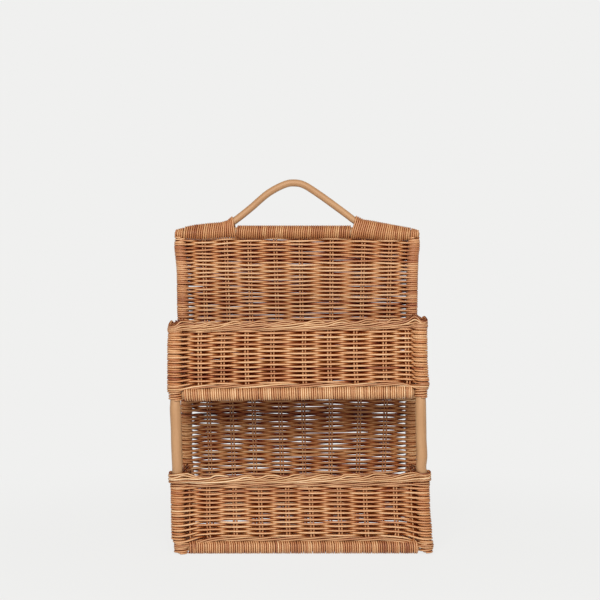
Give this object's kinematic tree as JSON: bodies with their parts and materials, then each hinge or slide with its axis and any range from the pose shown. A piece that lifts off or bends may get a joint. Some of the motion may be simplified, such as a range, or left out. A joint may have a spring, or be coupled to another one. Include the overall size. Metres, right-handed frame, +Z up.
{
  "type": "rattan hanging shelf",
  "caption": "Wall shelf of natural rattan: a woven back, woven upper and lower trays with rolled borders, and a bent rod handle bound to the top rail.",
  "frame": {"origin": "On the ground the shelf stands on, at the middle of the outline's width and depth.", "axes": "+X to the right as seen from the open front, +Y to the back towards the wall, +Z up."},
  "size_m": [0.3304, 0.1335, 0.4753],
  "materials": {
    "peeled_rod": "satin",
    "stake_core": "matte",
    "weaving_core": "matte",
    "floor_core": "matte",
    "border_core": "matte",
    "binding_core": "matte"
  },
  "bodies": {
    "root": {"back_foot_binding_left": "binding_core", "back_foot_binding_right": "binding_core", "back_post_left": "peeled_rod", "back_post_right": "peeled_rod", "back_stakes": "stake_core", "back_weave": "weaving_core", "front_post_left": "peeled_rod", "front_post_right": "peeled_rod", "handle": "peeled_rod", "handle_binding_left": "binding_core", "handle_binding_right": "binding_core", "lower_back_rail": "peeled_rod", "lower_corner_binding_left": "binding_core", "lower_corner_binding_right": "binding_core", "lower_floor_stakes": "stake_core", "lower_floor_weave": "floor_core", "lower_front_rail": "peeled_rod", "lower_front_stakes": "stake_core", "lower_front_weave": "weaving_core", "lower_rim_front": "border_core", "lower_rim_left": "border_core", "lower_rim_right": "border_core", "lower_side_rail_left": "peeled_rod", "lower_side_rail_right": "peeled_rod", "lower_side_stakes_left": "stake_core", "lower_side_stakes_right": "stake_core", "lower_side_weave_left": "weaving_core", "lower_side_weave_right": "weaving_core", "top_rail": "peeled_rod", "top_rail_wrap": "binding_core", "upper_back_rail": "peeled_rod", "upper_corner_binding_left": "binding_core", "upper_corner_binding_right": "binding_core", "upper_floor_stakes": "stake_core", "upper_floor_weave": "floor_core", "upper_front_rail": "peeled_rod", "upper_front_stakes": "stake_core", "upper_front_weave": "weaving_core", "upper_rim_front": "border_core", "upper_rim_left": "border_core", "upper_rim_right": "border_core", "upper_side_rail_left": "peeled_rod", "upper_side_rail_right": "peeled_rod", "upper_side_stakes_left": "stake_core", "upper_side_stakes_right": "stake_core", "upper_side_weave_left": "weaving_core", "upper_side_weave_right": "weaving_core"}
  },
  "joints": []
}
